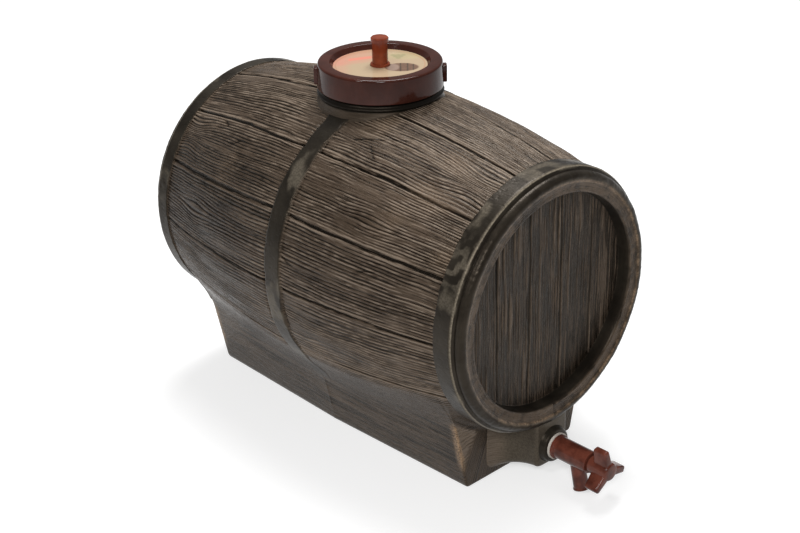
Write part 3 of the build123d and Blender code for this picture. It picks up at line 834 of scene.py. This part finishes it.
def make_handle(paint):
    """Three-winged tap knob with rounded edges."""
    start, end = HANDLE_LOW[0], HANDLE_HIGH[0]
    hub = HANDLE_HUB
    profile = [(start, 4.0), (start, hub - 1.0), (start + 0.4, hub - 0.3), (start + 1.2, hub)]
    for t in np.linspace(0, 1.35, 8):
        x = end - HANDLE_ROUND * (1 - math.sin(t))
        profile.append((x, hub - HANDLE_ROUND * (1 - math.cos(t))))
    skin = Skin()
    skin.add(*lathe_x(profile + [(end, 3.0)], TAP_Z, 64))
    for turn in WING_TURNS:
        spin = Matrix.Rotation(math.radians(turn - 90), 4, "X")
        place = Matrix.Translation((start + 12.5, 0, TAP_Z)) @ spin
        skin.add(*rounded_block(WING_BASE, WING_TIP, 3.0, HANDLE_TIP - 0.1, 1.8, 5, place))
    handle = skin.build("handle_moulding")
    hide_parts("tap_handle")
    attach(handle, "knob")
    handle.data.materials.append(paint)


# ---- label ----
def disc_mask(u, v, centre_u, centre_v, reach_u, reach_v, soft=0.9):
    """1 inside an ellipse, with an edge soft millimetres wide."""
    d = np.hypot((u - centre_u) / reach_u, (v - centre_v) / reach_v)
    return 1 - smooth(-soft, soft, (d - 1) * min(reach_u, reach_v))


PAPER = (0.41, 0.31, 0.20)
BLUSH = (0.52, 0.24, 0.17)
RIBBON_RED = (0.72, 0.18, 0.13)
LEAF_GREEN = (0.44, 0.38, 0.20)
GRAPE = (0.25, 0.24, 0.12)
CASK_BROWN = (0.13, 0.07, 0.045)
CASK_HEAD = (0.27, 0.19, 0.15)
CASK_HOOP = (0.05, 0.03, 0.02)
RING_BROWN = (0.40, 0.22, 0.13)
CASK_V = -7.5


def label_picture(u, v):
    """Print of the label: u runs to the right and v to the back as seen from the front right."""
    colour = np.broadcast_to(np.array(PAPER), u.shape + (3,)).copy()

    def print_on(mask, ink):
        colour[...] = colour * (1 - mask[..., None]) + np.array(ink) * mask[..., None]

    back_left = smooth(6.0, 16.0, v - 0.35 * u) * (1 - smooth(-14.0, 2.0, u))
    print_on(0.55 * back_left + 0.4 * (1 - smooth(-34.0, -22.0, u)), BLUSH)
    from_ribbon = np.abs(v - 17.0 - 0.3 * (u + 16.0))
    ribbon_length = smooth(-29.0, -26.0, u) * (1 - smooth(-9.0, -6.0, u))
    print_on(0.6 * smooth(-1.5, 1.5, 3.2 - from_ribbon) * ribbon_length, RIBBON_RED)
    print_on(0.5 * disc_mask(u, v, 22.0, 22.0, 16.0, 9.0, 4.0), LEAF_GREEN)
    for row in range(3):
        for k in range(3 - row):
            grape = disc_mask(u, v, 11.0 + 4.4 * k + 2.2 * row, 24.0 - 3.8 * row, 2.3, 2.3, 0.7)
            print_on(0.6 * grape, GRAPE)
    cask = disc_mask(u, v, 18.5, CASK_V, 14.5, 10.5)
    print_on(cask, CASK_BROWN)
    print_on(0.9 * disc_mask(u, v, 11.0, CASK_V, 5.4, 8.4), CASK_HEAD)
    for hoop in (17.5, 23.5, 28.5):
        print_on(cask * (1 - smooth(0.3, 0.9, np.abs(u - hoop))), CASK_HOOP)
    print_on(0.7 * (1 - smooth(0.3, 0.8, np.abs(np.hypot(u, v) - 38.6))), RING_BROWN)
    return colour


LABEL_HOLE = 8.8
LABEL_TURN = math.radians(46.4)  # from +X to the picture's right-hand side


def make_label():
    """Round printed film in the lid's sunk top."""
    outer = (LABEL_HIGH[1] - LABEL_LOW[1]) / 2
    low, top = LABEL_LOW[2], LABEL_HIGH[2]
    rows = [(LABEL_HOLE, low)] + [(r, top) for r in np.linspace(LABEL_HOLE, outer, 62)] + [(outer, low)]
    points, faces = lathe_z(rows, NECK_X, 360)
    x, y = points[:, 0] - NECK_X, points[:, 1]
    u = x * math.cos(LABEL_TURN) + y * math.sin(LABEL_TURN)
    v = y * math.cos(LABEL_TURN) - x * math.sin(LABEL_TURN)
    label = new_object("label_print", points, faces)
    layer = label.data.attributes.new("print", "FLOAT_COLOR", "POINT")
    ink = np.concatenate([label_picture(u, v), np.ones((len(points), 1))], axis=1)
    layer.data.foreach_set("color", ink.astype(np.float32).ravel())
    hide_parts("lid_label")
    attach(label, "lid")
    label.data.materials.append(label_paint())


# ---- materials ----
class Nodes:
    """Short calls for building a material's node tree."""

    def __init__(self, name):
        self.material = bpy.data.materials.new(name)
        self.material.use_nodes = True
        self.tree = self.material.node_tree
        self.shader = self.tree.nodes["Principled BSDF"]
        coordinates = self.tree.nodes.new("ShaderNodeTexCoord")
        self.place = coordinates.outputs["Object"]

    def link(self, value, socket):
        """Sets a socket to a number or colour, or links another node's output to it."""
        if isinstance(value, (int, float)):
            socket.default_value = value
        elif isinstance(value, tuple):
            socket.default_value = (*value, 1.0) if len(value) == 3 and socket.type == "RGBA" else value
        else:
            self.tree.links.new(value, socket)

    def attribute(self, name, output="Fac"):
        node = self.tree.nodes.new("ShaderNodeAttribute")
        node.attribute_name = name
        return node.outputs[output]

    def noise_at(self, place, scale, detail, rough=0.5):
        node = self.tree.nodes.new("ShaderNodeTexNoise")
        self.link(place, node.inputs["Vector"])
        for name, value in (("Scale", scale), ("Detail", detail), ("Roughness", rough)):
            node.inputs[name].default_value = value
        return node.outputs["Fac"]

    def noise(self, scale, detail, stretch=(1, 1, 1)):
        """Noise through the piece's own space."""
        mapping = self.tree.nodes.new("ShaderNodeMapping")
        self.link(self.place, mapping.inputs["Vector"])
        mapping.inputs["Scale"].default_value = stretch
        return self.noise_at(mapping.outputs["Vector"], scale, detail, 0.55)

    def fibre_noise(self, along, across, fibre, thread, seed, detail):
        """Noise drawn out along the painted grain: its scales along a fibre and across."""
        node = self.tree.nodes.new("ShaderNodeCombineXYZ")
        stretched = (self.times(along, fibre), self.times(across, thread), seed)
        for value, name in zip(stretched, "XYZ"):
            self.link(value, node.inputs[name])
        return self.noise_at(node.outputs["Vector"], 1.0, detail)

    def times(self, a, b):
        return self.math("MULTIPLY", a, b)

    def plus(self, a, b):
        return self.math("ADD", a, b)

    def minus(self, a, b):
        return self.math("SUBTRACT", a, b)

    def mix_value(self, amount, a, b):
        return self.plus(self.times(a, self.minus(1.0, amount)), self.times(b, amount))

    def remap(self, value, low, high, to_low=0.0, to_high=1.0):
        node = self.tree.nodes.new("ShaderNodeMapRange")
        node.interpolation_type = "SMOOTHSTEP"
        self.link(value, node.inputs["Value"])
        for name, number in (("From Min", low), ("From Max", high), ("To Min", to_low), ("To Max", to_high)):
            node.inputs[name].default_value = number
        return node.outputs["Result"]

    def math(self, operation, a, b):
        node = self.tree.nodes.new("ShaderNodeMath")
        node.operation = operation
        self.link(a, node.inputs[0])
        self.link(b, node.inputs[1])
        return node.outputs["Value"]

    def mix(self, amount, a, b):
        node = self.tree.nodes.new("ShaderNodeMix")
        node.data_type = "RGBA"
        self.link(amount, node.inputs["Factor"])
        self.link(a, node.inputs["A"])
        self.link(b, node.inputs["B"])
        return node.outputs["Result"]

    def bump(self, height, distance, strength):
        node = self.tree.nodes.new("ShaderNodeBump")
        node.inputs["Strength"].default_value = strength
        node.inputs["Distance"].default_value = distance
        self.link(height, node.inputs["Height"])
        return node.outputs["Normal"]

    def set(self, **sockets):
        """Sets or links the shader's sockets, with _ for a space in their names."""
        for name, value in sockets.items():
            self.link(value, self.shader.inputs[name.replace("_", " ")])


def srgb(r, g, b):
    """Linear colour from display values of 0 to 255."""
    def one(v):
        v /= 255
        return v / 12.92 if v <= 0.04045 else ((v + 0.055) / 1.055) ** 2.4

    return one(r), one(g), one(b), 1.0


WARM_SHEEN = (1.0, 0.82, 0.64, 1.0)


def shell_paint():
    """Dark moulded plastic with lighter, worn tops on its wood relief and blackish hoops."""
    n = Nodes("oak_look_plastic")
    relief, wear, band, along, across = (n.attribute(name) for name in PAINTED)
    fibres = n.fibre_noise(along, across, 0.035, 0.9, 0.0, 4)
    scratches = n.fibre_noise(along, across, 0.12, 2.6, 7.0, 3)
    blotch = n.noise(30, 4, (0.7, 1, 1))
    speckle = n.noise(650, 4)
    lifted = n.plus(relief, n.times(n.minus(fibres, 0.5), 0.55))
    lifted = n.plus(lifted, n.times(n.minus(scratches, 0.5), 0.6))
    deep, tops = n.remap(lifted, 0.1, 0.42), n.remap(lifted, 0.46, 0.84)
    base = n.mix(n.remap(blotch, 0.35, 0.65), srgb(66, 55, 45), srgb(80, 68, 57))
    base = n.mix(deep, srgb(14, 10, 6), base)
    wood = n.mix(n.times(tops, 0.8), base, srgb(128, 114, 100))
    worn = n.times(wear, n.remap(speckle, 0.38, 0.62, 0.3, 1.0))
    wood = n.mix(worn, wood, srgb(166, 138, 110))
    hoop_tone = n.mix(n.remap(blotch, 0.35, 0.7), srgb(26, 23, 19), srgb(44, 40, 34))
    hoop_tone = n.mix(n.remap(relief, 0.0, 0.22), srgb(12, 10, 8), hoop_tone)
    # pale hoop colour where relief is high: worn patches and the painted highlights from hoop_shade
    highlight_and_wear = n.times(n.remap(relief, 0.35, 0.95), n.remap(speckle, 0.4, 0.6, 0.6, 1.0))
    hoop_tone = n.mix(highlight_and_wear, hoop_tone, srgb(138, 128, 112))
    wood_bump = n.times(n.plus(fibres, n.times(scratches, 0.5)), n.minus(1.0, band))
    fine = n.plus(wood_bump, n.times(speckle, 0.2))
    wood_rough = n.remap(scratches, 0.3, 0.7, 0.2, 0.4)
    hoop_rough = n.remap(speckle, 0.3, 0.7, 0.28, 0.42)
    n.set(Base_Color=n.mix(band, wood, hoop_tone), Roughness=n.mix_value(band, wood_rough, hoop_rough),
          Normal=n.bump(fine, 0.0006, 0.8), Specular_IOR_Level=0.18, Specular_Tint=WARM_SHEEN)
    return n.material


def rubber_paint(name, dark, light, roughness):
    """Matt rubber with slight clouding and fine pores."""
    n = Nodes(name)
    cloud = n.noise(45, 4)
    pores = n.noise(300, 3)
    colour = n.mix(n.remap(cloud, 0.32, 0.68), dark, light)
    n.set(Base_Color=colour, Roughness=n.remap(pores, 0.3, 0.7, roughness - 0.05, roughness + 0.08),
          Normal=n.bump(pores, 0.00008, 0.5))
    return n.material


def gloss_paint(name, dark, light, roughness, cloud_scale):
    """Smooth moulded plastic: slight clouding, fine scratches and a faint orange-peel surface."""
    n = Nodes(name)
    cloud = n.noise(cloud_scale, 4)
    peel = n.noise(260, 2)
    fine = n.noise(1500, 2)
    colour = n.mix(n.remap(cloud, 0.32, 0.68), dark, light)
    n.set(Base_Color=colour, Roughness=n.remap(fine, 0.3, 0.7, roughness - 0.04, roughness + 0.06),
          Normal=n.bump(peel, 0.00012, 0.35), Specular_IOR_Level=0.2)
    return n.material


def lid_paint():
    return gloss_paint("lid_plastic", srgb(52, 24, 17), srgb(66, 33, 25), 0.1, 40)


def tap_paint():
    return gloss_paint("tap_plastic", srgb(74, 36, 27), srgb(108, 58, 45), 0.15, 90)


def vent_paint():
    return gloss_paint("vent_plastic", srgb(104, 44, 26), srgb(136, 64, 38), 0.09, 60)


def white_rubber_paint():
    return rubber_paint("white_rubber", srgb(196, 186, 176), srgb(214, 206, 196), 0.5)


def seal_rubber_paint():
    return rubber_paint("seal_rubber", srgb(60, 58, 54), srgb(76, 74, 70), 0.6)


def label_paint():
    """Glossy printed film."""
    n = Nodes("label_film")
    paper = n.noise(500, 3)
    colour = n.mix(n.remap(paper, 0.3, 0.7, 0.0, 0.12), n.attribute("print", "Color"), srgb(180, 150, 120))
    n.set(Base_Color=colour, Roughness=n.remap(paper, 0.3, 0.7, 0.06, 0.12),
          Normal=n.bump(n.noise(60, 2), 0.00015, 0.3))
    return n.material


def dress(nodes, material):
    """Gives CAD nodes that stay visible their material."""
    for node in nodes:
        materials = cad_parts[node].data.materials
        materials.clear()
        materials.append(material)


# ---- camera, floor, light ----
CAMERA_PLACE = (0.9912, -0.9138, 0.7965)
CAMERA_FORWARD = (-0.65476, 0.61270, -0.44259)
CAMERA_UP = (-0.30891, 0.31750, 0.89653)
LENS = 74.5


def make_camera():
    data = bpy.data.cameras.new("camera")
    data.sensor_width = 36.0
    data.lens = LENS
    data.clip_start = 0.05
    data.clip_end = 20.0
    camera = bpy.data.objects.new("camera", data)
    forward = Vector(CAMERA_FORWARD).normalized()
    right = forward.cross(Vector(CAMERA_UP)).normalized()
    up = right.cross(forward)
    turn = Matrix((right, up, -forward)).transposed().to_4x4()
    camera.matrix_world = Matrix.Translation(CAMERA_PLACE) @ turn
    bpy.context.scene.collection.objects.link(camera)
    bpy.context.scene.camera = camera


def background_rays(tree):
    """1 for camera, mirror and glass rays, which see the pale background; 0 for lighting rays."""
    rays = tree.nodes.new("ShaderNodeLightPath")
    total = rays.outputs["Is Camera Ray"]
    for name in ("Is Glossy Ray", "Is Transmission Ray"):
        larger = tree.nodes.new("ShaderNodeMath")
        larger.operation = "MAXIMUM"
        tree.links.new(total, larger.inputs[0])
        tree.links.new(rays.outputs[name], larger.inputs[1])
        total = larger.outputs["Value"]
    return total


FLOOR_HALF = 20.0
FLOOR_GREY = (0.5, 0.5, 0.5)
FLOOR_LIFT = 0.6


def make_floor():
    """Pale floor that keeps the shadow and looks nearly white to the background's rays."""
    signs = ((-1, -1), (1, -1), (1, 1), (-1, 1))
    corners = [(x * FLOOR_HALF, y * FLOOR_HALF, 0) for x, y in signs]
    mesh = bpy.data.meshes.new("floor")
    mesh.from_pydata(corners, [], [(0, 1, 2, 3)])
    floor = bpy.data.objects.new("floor", mesh)
    bpy.context.scene.collection.objects.link(floor)
    n = Nodes("floor_paint")
    lift = n.times(background_rays(n.tree), FLOOR_LIFT)
    n.set(Base_Color=FLOOR_GREY, Roughness=0.9, Emission_Color=(1.0, 1.0, 1.0), Emission_Strength=lift)
    floor.data.materials.append(n.material)


def area_light(name, place, size, power):
    """Square lamp at place that faces the middle of the barrel."""
    data = bpy.data.lights.new(name, "AREA")
    data.size = size
    data.energy = power
    lamp = bpy.data.objects.new(name, data)
    direction = Vector((0, 0, 0.15)) - Vector(place)
    lamp.matrix_world = Matrix.Translation(place) @ direction.to_track_quat("-Z", "Y").to_matrix().to_4x4()
    bpy.context.scene.collection.objects.link(lamp)


def make_light():
    world = bpy.data.worlds.new("studio")
    bpy.context.scene.world = world
    world.use_nodes = True
    sky = world.node_tree.nodes["Background"]
    sky.inputs["Color"].default_value = (1, 1, 1, 1)
    sky.inputs["Strength"].default_value = 0.25
    area_light("top_softbox", (-0.35, 0.45, 1.8), 0.9, 36)
    area_light("left_softbox", (0.2, -1.6, 1.3), 0.25, 7)
    area_light("camera_softbox", (1.25, -1.15, 1.2), 0.4, 16)
    bpy.context.scene.view_settings.view_transform = "Standard"


make_camera()
make_floor()
make_light()
make_shell()
make_lid()
make_label()

tap_plastic = tap_paint()
make_handle(tap_plastic)
dress(("tap_body", "tap_backnut", "tap_bonnet", "tap_spindle"), tap_plastic)
dress(("vent_stem", "vent_nut", "vent_cap"), vent_paint())
dress(("tap_outer_gasket",), white_rubber_paint())
dress(("lid_gasket", "vent_gasket", "tap_inner_gasket", "tap_spindle_ring", "tap_valve_seal"),
      seal_rubber_paint())
